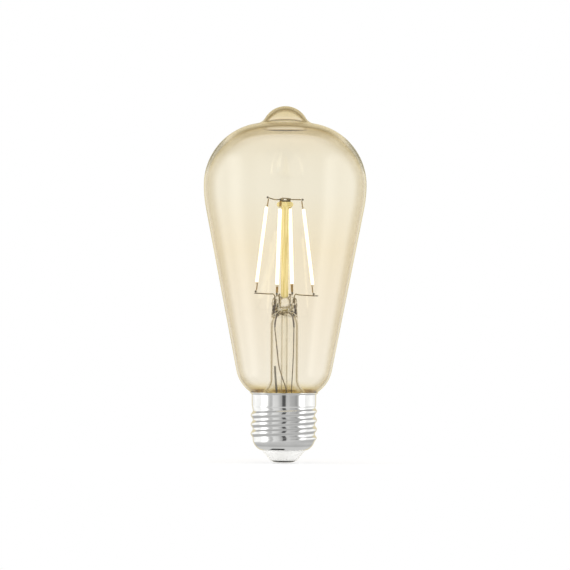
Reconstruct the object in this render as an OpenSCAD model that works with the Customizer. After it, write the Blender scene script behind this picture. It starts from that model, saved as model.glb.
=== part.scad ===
// LED filament bulb in the tall ST shape, with an E27 screw cap.
// The cap points down. The origin is the centre of the contact's flat face.

/* [Glass bulb] */
// Largest diameter of the glass
bulb_d = 64; // [58:0.5:78]
// Height from the contact to the tip of the glass
overall_h = 140; // [116:1:170]
// Height of the crown, from the widest ring to the tip
crown_h = 31; // [26:0.5:38]
// Height of the tip above the crown
tip_h = 6.5; // [5:0.1:8]
// Radius of the round tip
tip_round = 9.2; // [8:0.1:11]
// Fillet between the tip and the crown
tip_fillet = 4.5; // [3:0.1:6]
// Radius of the long curve below the widest ring
belly_round = 48; // [36:1:60]
// Radius of the round heel above the cap
heel_round = 13.3; // [12:0.1:16]
// Height of the heel's centre
heel_z = 38.6; // [37:0.1:42]
// Distance of the heel's centre from the axis
heel_x = 5.7; // [5:0.1:8]
// Fillet between the heel and the neck
neck_fillet = 2; // [1:0.1:3]
// Wall of the blown glass
glass_t = 0.85; // [0.6:0.05:1.2]

/* [Screw cap] */
// Largest diameter over the thread
screw_major_d = 26.2; // [25:0.1:32]
// Depth of the rolled thread
thread_depth = 0.9; // [0.6:0.05:1.1]
// Pitch of the thread
thread_pitch = 3.629; // [3:0.001:4.4]
// Sheet that the shell is rolled from
sheet_t = 0.35; // [0.25:0.05:0.5]
// Height at which the thread starts
thread_z0 = 9.3; // [8.8:0.1:10.5]
// Height at which the thread has run out
thread_z1 = 22.6; // [21:0.1:23.5]
// Height of the shell's upper rim
rim_z = 27.3; // [26.5:0.1:28.5]
// How far the rim flares out
rim_flare = 0.9; // [0.5:0.1:1.2]
// Radius of the shell's rounded nose
nose_round = 4.8; // [4:0.1:5.5]
// Radius of the opening in the nose
nose_hole_r = 8.8; // [8.2:0.1:9.6]
// Radius of the contact's head
contact_r = 4.7; // [4:0.1:5.5]
// Radius of the contact's flat face
contact_flat_r = 2.8; // [2:0.1:3.5]
// Height of the contact's head
contact_h = 0.7; // [0.5:0.05:1]
// Radius of the contact's shank
shank_r = 1.2; // [0.9:0.1:1.5]

/* [Glass stem] */
// Outer diameter of the stem tube
stem_d = 11.3; // [10:0.1:13.6]
// Wall of the stem tube
stem_t = 0.9; // [0.7:0.05:1.1]
// Height at which the stem tube starts to close
stem_top_z = 55; // [50:0.5:62]
// Height of the closing shoulder
stem_close_h = 6; // [5:0.5:8]
// Height of the flat press above the shoulder
press_h = 4.3; // [3.8:0.1:6]
// Width of the press
press_w = 9.8; // [9.4:0.1:12]
// Thickness of the press
press_t = 4.4; // [4:0.1:5.5]
// Outer diameter of the exhaust tube
exhaust_d = 2.8; // [2.4:0.1:3.2]
// Diameter of the glass support rod
rod_d = 3; // [2.4:0.1:3.4]
// Depth of the rod in the press
rod_seat = 3; // [2:0.1:4]

/* [Filament cage] */
// Lit length of a filament
lit_len = 30; // [24:0.5:37]
// Length of each end pin
pin_len = 3.2; // [2.5:0.1:4.5]
// Width of the phosphor coat
coat_w = 1.5; // [1.3:0.05:2]
// Thickness of the phosphor coat
coat_t = 1.3; // [1.2:0.05:1.8]
// Distance of the upper pin ends from the axis
cage_top_r = 7.1; // [6:0.1:9]
// Distance of the lower pin ends from the axis
cage_bottom_r = 11.8; // [9:0.1:14]
// Height of the lower pin ends above the press
cage_lift = 1.4; // [1.3:0.1:4]
// Turn of the cage about the axis
cage_turn = -15; // [-40:1:40]
// Diameter of the bead on the rod
bead_d = 6.6; // [5.6:0.1:8]
// Height of the bead
bead_h = 2.1; // [1.6:0.1:3]
// Radius of the support and lead wires
wire_r = 0.24; // [0.18:0.01:0.3]

/* [Driver] */
// Height of the driver board's underside
board_z = 13; // [12.4:0.1:14]
// Thickness of the driver board
board_t = 1.2; // [0.8:0.1:1.6]
// Wall of the insulating sleeve round the driver
sleeve_t = 0.5; // [0.4:0.05:0.8]
// Reach of the antenna up the stem
antenna_z = 38; // [32:0.5:46]
// Radius of the antenna wire
antenna_r = 0.48; // [0.3:0.02:0.6]

/* [Hidden] */

$fn = 48;

// Clearances: glass to glass, wire in its hole, and a piece laid on another
seal_gap = 0.03;
hole_gap = 0.05;
seat_gap = 0.02;

// Screw cap
thread_r = screw_major_d / 2;
root_r = thread_r - thread_depth;
collar_r = root_r + 0.5;
crest_z = 16.7;             // height of one crest where the shell meets +X
shell_sides = 48;
rows_per_turn = 9;

// Neck of the glass inside the collar
cement_t = 0.4;
neck_r = collar_r - sheet_t - cement_t;
neck_z0 = thread_z1;
neck_in_r = neck_r - glass_t;

// Centres of the arcs that make the glass outline
belly_z = overall_h - crown_h;
shoulder_round = crown_h - tip_h;
heel_c = [heel_x, heel_z];
belly_c = [bulb_d / 2 - belly_round, belly_z];
shoulder_c = [bulb_d / 2 - shoulder_round, belly_z];
tip_c = [0, overall_h - tip_round];
neck_fillet_x = neck_r + neck_fillet;
neck_fillet_drop = sqrt(pow(heel_round + neck_fillet, 2) - pow(neck_fillet_x - heel_x, 2));
neck_fillet_c = [neck_fillet_x, heel_z - neck_fillet_drop];
tip_fillet_c = circles_meet(tip_c, tip_round + tip_fillet, shoulder_c, shoulder_round + tip_fillet);
taper_a = tangent_angle(heel_c, heel_round, belly_c, belly_round);

// Stem
stem_r = stem_d / 2;
stem_in_r = stem_r - stem_t;
flare_round = 5;
flare_a = 41;
flare_rim_r = neck_in_r - seal_gap;
flare_rim_z = neck_z0 + 0.5;
press_z0 = stem_top_z + stem_close_h;
press_z1 = press_z0 + press_h;
exhaust_r = exhaust_d / 2;
exhaust_in_r = exhaust_r - 0.5;
exhaust_z0 = board_z + board_t + 4;
exhaust_z1 = press_z0 - 1.3;
port_z = exhaust_z1 + 1.1;
rod_r = rod_d / 2;
rod_z0 = press_z1 - rod_seat;
lead_x = press_w / 2 - 1.15;
branch_xy = [rod_r + 0.65, 0.9];
seal_z0 = stem_top_z - 1.2;
seal_z1 = press_z0 + 0.8;
seal_r = 0.34;

// Filament cage
filament_len = lit_len + 2 * pin_len;
filament_tilt = asin((cage_bottom_r - cage_top_r) / filament_len);
cage_z0 = press_z1 + cage_lift;
cage_h = filament_len * cos(filament_tilt);
cage_z1 = cage_z0 + cage_h;
cage_mid_r = (cage_top_r + cage_bottom_r) / 2;
filament_lift = [0, 0.3, 0.9, 0];     // each filament is spotted by hand a little differently
bead_z0 = cage_z1 - 2.5;
bead_z1 = bead_z0 + bead_h;
clip_size = [4.2, 1.4, 0.6];
strip_w = 0.9;
strip_t = 0.35;
strip_end = 0.8;
chip_count = 28;
chip_size = [0.6, 0.16, 0.7];
pin_w = 0.9;
pin_t = 0.25;
knot_r = 0.42;

// Driver: the parts' places were drawn on a board of this radius
plan_r = 11;
sleeve_r = root_r - sheet_t - 0.25;
sleeve_ledge_r = sleeve_r - sleeve_t - 0.7;
board_r = sleeve_r - sleeve_t - 0.1;
board_top = board_z + board_t;
tail = 0.6;                             // length of a soldered lead above the board
choke_at = spot(-5.2, -3.2);
capacitor_at = spot(0, 5);
fuse_at = spot(5, -4.2);
radio_at = spot(-4.2, 3.2);
part_lead_r = 0.28;
choke_r = 3;
choke_leads = [for (x = [-1, 1]) choke_at + [x, 2.4]];
capacitor_r = 2.5;
capacitor_len = 8;
capacitor_leads = [for (y = [-1, 1]) capacitor_at + [capacitor_len / 2 + 0.8, y]];
fuse_r = 1.15;
fuse_len = 6.5;
fuse_leads = [for (x = [-1, 1]) fuse_at + [x * (fuse_len / 2 + 0.7), 0]];
live_at = [shank_r + 0.8, 0];
neutral_at = [0, board_r - 1.6];
lead_left_at = [1.2, -2.3];
lead_right_at = [2.6, 3];
board_holes = concat(choke_leads, capacitor_leads, fuse_leads,
    [live_at, neutral_at, lead_left_at, lead_right_at]);
insulator_top = 6.5;

// Routes of the wires, from one end to the other
wire_drop = [0, 0, knot_r + wire_r + seat_gap];
lead_start_z = seal_z0 - 2 * knot_r - 2 * seat_gap;
lead_left_route = [[-lead_x, 0, lead_start_z], [-lead_x + 0.2, -0.3, lead_start_z - 2],
    [-2.9, -1.6, 46], [-2, -2.4, 38], [-0.6, -2.6, 33], [0.8, -2.5, 28.5],
    [lead_left_at.x, lead_left_at.y, 23], [lead_left_at.x, lead_left_at.y, 19],
    [lead_left_at.x, lead_left_at.y, board_top + tail]];
lead_right_route = [[lead_x, 0, lead_start_z], [lead_x, 0, lead_start_z - 2],
    [3.7, 0, 46], [3.5, 0.4, 39], [3.1, 1.4, 30], [lead_right_at.x, lead_right_at.y, 22],
    [lead_right_at.x, lead_right_at.y, 18], [lead_right_at.x, lead_right_at.y, board_top + tail]];
antenna_route = [[-1.4, 3.2, board_top + 1.05], [-1.6, 3, 18], [-2.6, 1.8, 24],
    [-3.1, 0.9, 29], [-3.5, 0.7, 34], [-3.7, 0.6, antenna_z]];

// ---- Functions ----

// Points along an arc from angle a0 to a1
function arc(c, r, a0, a1, n) = [for (i = [0:n]) let (a = a0 + (a1 - a0) * i / n) c + r * [cos(a), sin(a)]];

function reversed(list) = [for (i = [len(list) - 1:-1:0]) list[i]];
function unit(v) = v / norm(v);
function angle_to(from, to) = atan2(to.y - from.y, to.x - from.x);
function ramp(x, x0, x1) = min(1, max(0, (x - x0) / (x1 - x0)));
function ease(x, x0, x1) = let (t = ramp(x, x0, x1)) t * t * (3 - 2 * t);

// The right-hand point that lies r1 from c1 and r2 from c2
function circles_meet(c1, r1, c2, r2) =
    let (d = norm(c2 - c1), along = (d * d + r1 * r1 - r2 * r2) / (2 * d),
        side = sqrt(r1 * r1 - along * along), u = (c2 - c1) / d)
    c1 + along * u + side * [-u.y, u.x];

// Angle at which one straight line touches the outsides of two circles
function tangent_angle(c1, r1, c2, r2) = angle_to(c1, c2) - acos((r1 - r2) / norm(c2 - c1));

// Outline of the glass, t inside its outer face, from the neck's end to the tip
function glass_outline(t) =
    let (neck_a = angle_to(neck_fillet_c, heel_c), shoulder_a = angle_to(shoulder_c, tip_fillet_c),
        tip_a = angle_to(tip_c, tip_fillet_c))
    concat([[neck_r - t, neck_z0]],
        arc(neck_fillet_c, neck_fillet + t, 180, neck_a, 4),
        arc(heel_c, heel_round - t, neck_a - 180, taper_a, 8),
        arc(belly_c, belly_round - t, taper_a, 0, 6),
        [for (p = arc(shoulder_c, shoulder_round - t, 0, shoulder_a, 14)) if (p.y > belly_z) p],
        arc(tip_fillet_c, tip_fillet + t, shoulder_a + 180, tip_a + 180, 5),
        arc(tip_c, tip_round - t, tip_a, 90, 6));

// Underside or outside of the stem's flare, t inside its outer face
function flare_outline(t) =
    let (c = [stem_r + flare_round, 0], bend = arc(c, flare_round + t, 180, 180 + flare_a, 6),
        last = bend[len(bend) - 1], run = flare_rim_r - last.x,
        drop = run / tan(flare_a), z = flare_start_z())
    concat([for (p = bend) p + [0, z]], [[flare_rim_r, z + last.y - drop]]);

// Height at which the flare leaves the tube, so that its rim lands in the neck
function flare_start_z() =
    let (x = stem_r + flare_round * (1 - cos(flare_a)))
    flare_rim_z + stem_t / sin(flare_a) + flare_round * sin(flare_a) + (flare_rim_r - x) / tan(flare_a);

// A place on the driver board
function spot(x, y) = [x, y] * board_r / plan_r;

// Where a filament stands round the axis, and where its pins end
function filament_a(i) = cage_turn + 90 * (i - 1);
function pin_end(i, r, s) =
    [r * cos(filament_a(i)), r * sin(filament_a(i)), (s < 0 ? cage_z0 : cage_z1) + filament_lift[i - 1]];

// Centres of the weld knots on a filament's upper and lower pins
function upper_knot(i) = pin_end(i, cage_top_r, 1) + [0, 0, knot_r + seat_gap];
function lower_knot(i) = pin_end(i, cage_bottom_r, -1) - [0, 0, knot_r + seat_gap];

// The point that lies d from p on the way to q
function short_of(p, q, d) = p + d * unit(q - p);

// A smooth route through the given points, with n steps between two of them
function spline(a, b, c, d, t) =
    (2 * b + (c - a) * t + (2 * a - 5 * b + 4 * c - d) * t * t + (3 * b - a - 3 * c + d) * t * t * t) / 2;
function smooth(p, n) =
    let (m = len(p) - 1)
    concat([for (i = [0:m - 1], k = [0:n - 1])
        spline(p[max(i - 1, 0)], p[i], p[i + 1], p[min(i + 2, m)], k / n)], [p[m]]);

// Directions along a route, and side directions that don't twist
function tangents(p) =
    [for (i = [0:len(p) - 1]) unit(p[min(i + 1, len(p) - 1)] - p[max(i - 1, 0)])];
function side_of(side, t) = unit(side - t * (side * t));
function sides_along(t, side, i = 0) =
    i == len(t) ? [] : let (s = side_of(side, t[i])) concat([s], sides_along(t, s, i + 1));

// ---- Shared shapes ----

// Round wire swept along a route
module wire(route, r, sides = 8) {
    t = tangents(route);
    u = sides_along(t, abs(t[0].x) < 0.9 ? [1, 0, 0] : [0, 1, 0]);
    rings = [for (i = [0:len(route) - 1], j = [0:sides - 1])
        let (a = 360 * j / sides) route[i] + r * (cos(a) * u[i] + sin(a) * cross(t[i], u[i]))];
    last = (len(route) - 1) * sides;
    walls = [for (i = [0:len(route) - 2], j = [0:sides - 1])
        let (a = i * sides + j, b = i * sides + (j + 1) % sides)
        each [[a, a + sides, b + sides], [a, b + sides, b]]];
    ends = [[for (j = [0:sides - 1]) j], [for (j = [sides - 1:-1:0]) last + j]];
    polyhedron(rings, concat(walls, ends), convexity = 10);
}

// Straight round bar between two points
module bar(from, to, r) {
    d = to - from;
    translate(from) rotate([0, acos(d.z / norm(d)), atan2(d.y, d.x)]) cylinder(h = norm(d), r = r, $fn = 24);
}

// Slab with round ends, w wide and t thick
module slab(w, t, h) {
    linear_extrude(h) {
        square([w - t, t], center = true);
        for (x = [-1, 1]) translate([x * (w - t) / 2, 0]) circle(d = t, $fn = 32);
    }
}

// Moves its child onto filament i, whose middle is then the origin and whose length is Z
module on_filament(i) {
    rotate([0, 0, filament_a(i)])
        translate([cage_mid_r, 0, cage_z0 + cage_h / 2 + filament_lift[i - 1]])
            rotate([0, -filament_tilt, 0]) rotate([0, 0, 90]) children();
}

// Through-hole lead that leaves a part sideways and turns up through the board
module bent_lead(at, from, z) {
    start = [from.x, from.y, z];
    corner = [at.x, at.y, z];
    bar(start, corner, part_lead_r);
    translate(corner) sphere(r = part_lead_r, $fn = 24);
    translate(corner) cylinder(h = board_top + tail - z, r = part_lead_r, $fn = 24);
}

// Small moulded chip with a row of legs along both of its long sides
module legged_chip(at, size, legs, reach) {
    stand = 0.15;
    translate([at.x, at.y, board_top + seat_gap]) {
        translate([-size.x / 2, -size.y / 2, stand]) cube(size);
        for (i = [0:legs - 1], s = [-1, 1])
            translate([(i - (legs - 1) / 2) * size.x / legs - 0.2,
                s > 0 ? size.y / 2 - 0.1 : -size.y / 2 - reach + 0.1, 0])
                cube([0.4, reach, 0.4]);
    }
}

// ---- Glass ----

module glass_envelope() {
    color([0.93, 0.86, 0.68, 0.35])
        rotate_extrude($fn = 96) polygon(concat(glass_outline(0), reversed(glass_outline(glass_t))));
}

// Tube with its flare below and a closing dome above, hollow up to the press
module stem_tube() {
    dome_z = press_z0 - 0.7;
    rotate_extrude($fn = 64)
        polygon(concat(
            [[0, press_z0 + 0.6], [press_t / 2, press_z0 + 0.6], [press_w / 2 - 0.7, press_z0 - 1.6],
            [stem_r, stem_top_z]], flare_outline(0), reversed(flare_outline(stem_t)),
            [[stem_in_r, stem_top_z], [stem_in_r - 0.6, dome_z - 2.4], [stem_in_r - 1.9, dome_z - 0.7],
            [exhaust_r + 0.5, dome_z], [0, dome_z]]));
}

// Flat press with a slightly narrower, thinner lip on top
module press_body() {
    lip = 1;
    translate([0, 0, press_z0 - 1.2]) slab(press_w, press_t, press_h + 1.2 - lip);
    translate([0, 0, press_z1 - lip - 0.2]) slab(press_w - 1, press_t - 1, lip + 0.2);
}

module stem_flare() {
    color([0.92, 0.88, 0.76, 0.4]) difference() {
        union() {
            stem_tube();
            press_body();
        }
        translate([0, 0, rod_z0 - seal_gap]) cylinder(h = rod_seat + 1, r = rod_r + seal_gap);
        translate([0, 0, stem_top_z])
            cylinder(h = exhaust_z1 - stem_top_z + seal_gap, r = exhaust_r + seal_gap);
        translate([0, 0, exhaust_z1]) cylinder(h = port_z - exhaust_z1, r = exhaust_in_r);
        translate([0, 0, port_z]) rotate([-90, 0, 0]) cylinder(h = stem_d, r = exhaust_in_r);
        for (s = [-1, 1]) {
            translate([s * lead_x, 0, stem_top_z]) cylinder(h = press_z1, r = seal_r + hole_gap, $fn = 24);
            translate([s * branch_xy.x, s * branch_xy.y, press_z1 - 2.5 - hole_gap])
                cylinder(h = 4, r = wire_r + hole_gap, $fn = 24);
        }
    }
}

module exhaust_tube() {
    tip = 2.2;
    color([0.92, 0.88, 0.76, 0.4]) rotate_extrude()
        polygon([
            [0, exhaust_z0], [0.5, exhaust_z0 + 0.1], [exhaust_r, exhaust_z0 + tip], [exhaust_r, exhaust_z1],
            [exhaust_in_r, exhaust_z1], [exhaust_in_r, exhaust_z0 + tip + 0.2], [0, exhaust_z0 + tip - 1]]);
}

module support_rod() {
    color([0.95, 0.87, 0.6, 0.6])
        translate([0, 0, rod_z0]) cylinder(h = bead_z0 + bead_h / 2 - rod_z0, r = rod_r);
}

module rod_bead() {
    edge = bead_h / 2;
    color([0.9, 0.8, 0.5, 0.6]) difference() {
        translate([0, 0, bead_z0]) union() {
            cylinder(h = bead_h, r = bead_d / 2 - edge);
            rotate_extrude() translate([bead_d / 2 - edge, edge]) circle(r = edge, $fn = 32);
        }
        translate([0, 0, bead_z0 - 1]) cylinder(h = 1 + bead_h / 2 + seal_gap, r = rod_r + seal_gap);
    }
}

// ---- Filament cage ----

module bead_clip() {
    color("dimgray") translate([0, 0, bead_z1 + seat_gap + clip_size.z / 2]) cube(clip_size, center = true);
}

module top_wire(i) {
    clip_top = bead_z1 + 2 * seat_gap + clip_size.z + wire_r;
    level = clip_top + (i % 2 == 0 ? 2 * wire_r + seat_gap : 0);
    way = [cos(filament_a(i)), sin(filament_a(i)), 0];
    start = [for (r = [0.5, 0.35 * cage_top_r, 0.6 * cage_top_r]) r * way + [0, 0, level]];
    end = short_of(upper_knot(i), start[2], knot_r + seat_gap);
    color("dimgray") wire(smooth(concat(start, [end]), 3), wire_r);
}

module filament_strip(i) {
    len = lit_len + 2 * strip_end;
    color("gainsboro") on_filament(i) cube([strip_w, strip_t, len], center = true);
}

module filament_chips(i) {
    pitch = (lit_len - 1) / chip_count;
    color("lightskyblue") on_filament(i)
        for (k = [0:chip_count - 1])
            translate([0, -(strip_t + chip_size.y) / 2 - seat_gap / 2, (k - (chip_count - 1) / 2) * pitch])
                cube(chip_size, center = true);
}

module filament_coat(i) {
    room = [strip_w + 2 * seat_gap, strip_t + 2 * seat_gap, lit_len + 1];
    chip_room = [chip_size.x + 2 * seat_gap, strip_t / 2 + chip_size.y + 2 * seat_gap, lit_len - 0.4];
    color([1, 0.93, 0.7]) on_filament(i) difference() {
        translate([0, 0, -lit_len / 2]) slab(coat_w, coat_t, lit_len);
        cube(room, center = true);
        translate([0, -chip_room.y / 2, 0]) cube(chip_room, center = true);
    }
}

module filament_pins(i) {
    color("silver") on_filament(i)
        for (s = [-1, 1])
            translate([0, (strip_t + pin_t) / 2 + seat_gap, s * (lit_len / 2 + pin_len / 2 + seat_gap / 2)])
                cube([pin_w, pin_t, pin_len - seat_gap], center = true);
}

// ---- Lead wires in and under the cage ----

// Lead that comes out of the press and runs out under filament i's lower pin
module inner_lead(side, i, overrun) {
    under = lower_knot(i) - wire_drop;
    out = unit([under.x, under.y, 0]);
    color("dimgray") wire(smooth([under + overrun * out, under,
        [under.x / 2, under.y / 2, max(under.z - 0.3, press_z1 + 0.6)],
        [side * (lead_x + 0.7), 0, press_z1 + 0.9], [side * lead_x, 0, press_z1 - 0.4],
        [side * lead_x, 0, seal_z1 + seat_gap]], 4), wire_r);
}

// Wire that comes up beside the rod and runs out under filament i's lower pin
module branch_wire(side, i, overrun) {
    under = lower_knot(i) - wire_drop;
    out = unit([under.x, under.y, 0]);
    foot = [side * branch_xy.x, side * branch_xy.y];
    color("dimgray") wire(smooth([under + overrun * out, under,
        [under.x * 0.6, under.y * 0.6, max(under.z - 0.2, press_z1 + 0.6)],
        [foot.x, foot.y * 1.8, press_z1 + 0.9], [foot.x, foot.y, press_z1 - 0.3],
        [foot.x, foot.y, press_z1 - 2.5]], 4), wire_r);
}

// Balls of weld metal: on the filaments' pins, and between the seal wires and the outer leads
module weld_knots() {
    color("silver") {
        for (i = [1:4], p = [upper_knot(i), lower_knot(i)]) translate(p) sphere(r = knot_r, $fn = 24);
        for (side = [-1, 1])
            translate([side * lead_x, 0, seal_z0 - knot_r - seat_gap]) sphere(r = knot_r, $fn = 24);
    }
}

// Copper-clad wire that the press is sealed on
module seal_wire(side) {
    color("sienna") translate([side * lead_x, 0, seal_z0])
        cylinder(h = seal_z1 - seal_z0, r = seal_r, $fn = 24);
}

module outer_lead_left() {
    color("darkgoldenrod") wire(smooth(lead_left_route, 3), wire_r);
}

module outer_lead_right() {
    color("darkgoldenrod") wire(smooth(lead_right_route, 3), wire_r);
}

// ---- Screw cap ----

// Section of the shell without its thread: nose, thread zone, collar and rim
function shell_section() =
    let (nose_c = [root_r - nose_round, thread_z0],
        nose_a = acos((nose_hole_r - nose_c.x) / nose_round),
        steps = ceil((thread_z1 - thread_z0) / thread_pitch * rows_per_turn))
    concat(arc(nose_c, nose_round, -nose_a, 0, 7),
        [for (k = [1:steps]) let (z = thread_z0 + (thread_z1 - thread_z0) * k / steps)
            [root_r + (collar_r - root_r) * ease(z, thread_z1 - 1.4, thread_z1), z]],
        [[collar_r, rim_z - 1.3]],
        arc([collar_r + rim_flare, rim_z - 1], rim_flare, 180, 118, 4),
        [[collar_r + rim_flare * 0.8, rim_z - 0.1], [collar_r + rim_flare * 0.95, rim_z]]);

// The same section moved inwards by the sheet
function inner_section(p) =
    [for (i = [0:len(p) - 1])
        let (d = unit(p[min(i + 1, len(p) - 1)] - p[max(i - 1, 0)])) p[i] + sheet_t * [-d.y, d.x]];

// How far the rolled thread stands out at a height and an angle
function thread_out(z, a) =
    let (turn = (z - crest_z) / thread_pitch - a / 360,
        fade = ease(z, thread_z0 - 1.5, thread_z0 + 0.5) * (1 - ease(z, thread_z1 - 2.4, thread_z1 - 0.4)))
    thread_depth * fade * (0.5 + 0.5 * cos(360 * turn));

module screw_shell() {
    outer = shell_section();
    loop = concat(outer, reversed(inner_section(outer)));
    zs = concat([for (p = outer) p.y], reversed([for (p = outer) p.y]));
    rows = len(loop);
    points = [for (i = [0:rows - 1], j = [0:shell_sides - 1])
        let (a = 360 * j / shell_sides, r = loop[i].x + thread_out(zs[i], a))
            [r * cos(a), r * sin(a), loop[i].y]];
    faces = [for (i = [0:rows - 1], j = [0:shell_sides - 1])
        let (up = ((i + 1) % rows) * shell_sides, low = i * shell_sides, next = (j + 1) % shell_sides)
        each [[low + j, up + j, up + next], [low + j, up + next, low + next]]];
    color([0.85, 0.86, 0.88]) polyhedron(points, faces, convexity = 10);
}

module insulator() {
    waist_r = nose_hole_r - sheet_t - 0.15;
    flange_r = nose_hole_r + 0.25;
    waist_z = thread_z0 - nose_round + 0.15;
    flange_z = waist_z + 1.15;
    color("whitesmoke") difference() {
        rotate_extrude() polygon([[0, contact_h + seat_gap], [contact_r + 0.4, contact_h + seat_gap],
            [waist_r - 0.3, waist_z - 0.3], [waist_r, waist_z], [waist_r, flange_z], [flange_r, flange_z + 0.15],
            [flange_r, insulator_top], [contact_r, insulator_top], [contact_r - 1, insulator_top - 1.5],
            [0, insulator_top - 1.5]]);
        cylinder(h = 20, r = shank_r + hole_gap, center = true, $fn = 32);
        translate(live_at) cylinder(h = 20, r = wire_r + 0.1, center = true, $fn = 24);
    }
}

module centre_contact() {
    edge_r = contact_r - contact_h * 0.9;
    color([0.82, 0.82, 0.84]) {
        rotate_extrude() polygon(concat([[0, 0], [contact_flat_r, 0], [edge_r, contact_h * 0.3]],
            arc([contact_r - contact_h * 0.55, contact_h], contact_h * 0.55, -60, 0, 4), [[0, contact_h]]));
        translate([0, 0, contact_h / 2]) cylinder(h = 4.2, r = shank_r, $fn = 32);
    }
}

module basing_cement() {
    color("tan") rotate_extrude($fn = 64)
        translate([neck_r + seat_gap, neck_z0 + 0.6])
            square([cement_t - seat_gap - hole_gap, neck_fillet_c.y - neck_z0 - 0.6]);
}

// ---- Driver in the cap ----

module driver_sleeve() {
    top = thread_z1 - 0.9;
    color("ivory") rotate_extrude()
        polygon([[sleeve_ledge_r, thread_z0], [sleeve_r, thread_z0], [sleeve_r, top], [sleeve_r - sleeve_t, top],
            [sleeve_r - sleeve_t, board_z - seat_gap], [sleeve_ledge_r, board_z - seat_gap]]);
}

module driver_board() {
    color("darkgreen") difference() {
        translate([0, 0, board_z]) cylinder(h = board_t, r = board_r, $fn = 64);
        for (p = board_holes)
            translate([p.x, p.y, board_z - 1]) cylinder(h = board_t + 2, r = part_lead_r + 0.12, $fn = 24);
    }
}

module bridge_rectifier() {
    color("black") rotate([0, 0, 90]) legged_chip([0, -6.4 * board_r / plan_r], [4.7, 3.9, 1.4], 2, 0.8);
}

module capacitor() {
    z = board_z - capacitor_r - 0.2;
    end = capacitor_at + [capacitor_len / 2, 0];
    color("darkslateblue") {
        translate([capacitor_at.x - capacitor_len / 2, capacitor_at.y, z])
            rotate([0, 90, 0]) cylinder(h = capacitor_len, r = capacitor_r);
        for (p = capacitor_leads) bent_lead(p, [end.x - 0.3, p.y], z);
    }
}

module choke_core() {
    z0 = board_z - 5.2;
    color("dimgray") translate([choke_at.x, choke_at.y, z0]) {
        cylinder(h = 0.8, r = choke_r);
        cylinder(h = 5, r = choke_r - 1.4);
        translate([0, 0, 4.2]) cylinder(h = 0.8, r = choke_r);
        for (p = choke_leads)
            translate([p.x - choke_at.x, p.y - choke_at.y, 4.6])
                cylinder(h = board_top + tail - z0 - 4.6, r = part_lead_r, $fn = 24);
    }
}

module choke_winding() {
    color("peru") translate([choke_at.x, choke_at.y, board_z - 5.2 + 0.8 + seat_gap]) difference() {
        cylinder(h = 3.4 - 2 * seat_gap, r = choke_r - 0.4);
        translate([0, 0, -1]) cylinder(h = 6, r = choke_r - 1.4 + seat_gap);
    }
}

module fuse_resistor() {
    z = board_z - fuse_r - 0.3;
    color("darkseagreen") {
        translate([fuse_at.x - fuse_len / 2, fuse_at.y, z])
            rotate([0, 90, 0]) cylinder(h = fuse_len, r = fuse_r);
        for (i = [0, 1])
            bent_lead(fuse_leads[i], [fuse_at.x + (i * 2 - 1) * (fuse_len / 2 - 0.3), fuse_at.y], z);
    }
}

module driver_chip() {
    color("black") legged_chip(spot(-4.6, -5), [4.9, 3.9, 1.5], 4, 1.1);
}

// Loose chip parts, all of one size, at the given places
module chip_parts(places, size) {
    for (p = places)
        translate([p.x - size.x / 2, p.y - size.y / 2, board_top + seat_gap]) cube(size);
}

module chip_resistors() {
    color("black")
        chip_parts([spot(-0.6, -6.2), spot(3.6, -6.8), spot(1.6, -8.6), spot(5.8, -6.6)], [1.6, 0.8, 0.5]);
}

module chip_capacitors() {
    color("tan") chip_parts([spot(-8.3, -1), spot(3, 8.2), spot(-3, 7.6)], [2, 1.2, 0.8]);
}

module radio_board() {
    size = [7.4, 5.4, 0.8];
    color("midnightblue") translate([radio_at.x, radio_at.y, board_top + seat_gap + size.z / 2])
        cube(size, center = true);
}

module radio_shield() {
    size = [4.6, 4.4, 1.5];
    color("silver") translate([radio_at.x - 1, radio_at.y, board_top + 0.8 + 2 * seat_gap + size.z / 2])
        cube(size, center = true);
}

module antenna_wire() {
    color("gray") wire(smooth(antenna_route, 3), antenna_r);
}

module live_wire() {
    z0 = contact_h + seat_gap;
    color("firebrick") translate([live_at.x, live_at.y, z0])
        cylinder(h = board_top + tail - z0, r = wire_r, $fn = 24);
}

module neutral_wire() {
    turn_z = thread_z1 - 0.4;
    corner = [neutral_at.x, neutral_at.y, turn_z];
    color("royalblue") {
        translate([neutral_at.x, neutral_at.y, board_z])
            cylinder(h = turn_z - board_z, r = wire_r, $fn = 24);
        translate(corner) sphere(r = wire_r, $fn = 24);
        bar(corner, [0, sleeve_r + 0.1, turn_z], wire_r);
    }
}

// Solder cones round the tails of the leads
module solder_joints() {
    color("lightgray") for (p = board_holes)
        translate([p.x, p.y, board_top + seat_gap]) difference() {
            cylinder(h = 0.5, r1 = 0.75, r2 = 0.42, $fn = 24);
            translate([0, 0, -1]) cylinder(h = 3, r = part_lead_r + 0.02, $fn = 24);
        }
}

glass_envelope();
stem_flare();
exhaust_tube();
support_rod();
rod_bead();
bead_clip();
top_wire(1);  // top_wire_1
top_wire(2);  // top_wire_2
top_wire(3);  // top_wire_3
top_wire(4);  // top_wire_4
filament_strip(1);  // filament_strip_1
filament_strip(2);  // filament_strip_2
filament_strip(3);  // filament_strip_3
filament_strip(4);  // filament_strip_4
filament_chips(1);  // filament_chips_1
filament_chips(2);  // filament_chips_2
filament_chips(3);  // filament_chips_3
filament_chips(4);  // filament_chips_4
filament_coat(1);  // filament_coat_1
filament_coat(2);  // filament_coat_2
filament_coat(3);  // filament_coat_3
filament_coat(4);  // filament_coat_4
filament_pins(1);  // filament_pins_1
filament_pins(2);  // filament_pins_2
filament_pins(3);  // filament_pins_3
filament_pins(4);  // filament_pins_4
inner_lead(-1, 3, 0.3);  // inner_lead_left
inner_lead(1, 1, 1.8);  // inner_lead_right
branch_wire(-1, 4, 0.4);  // branch_wire_front
branch_wire(1, 2, 0.4);  // branch_wire_back
weld_knots();
seal_wire(-1);  // seal_wire_left
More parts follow.
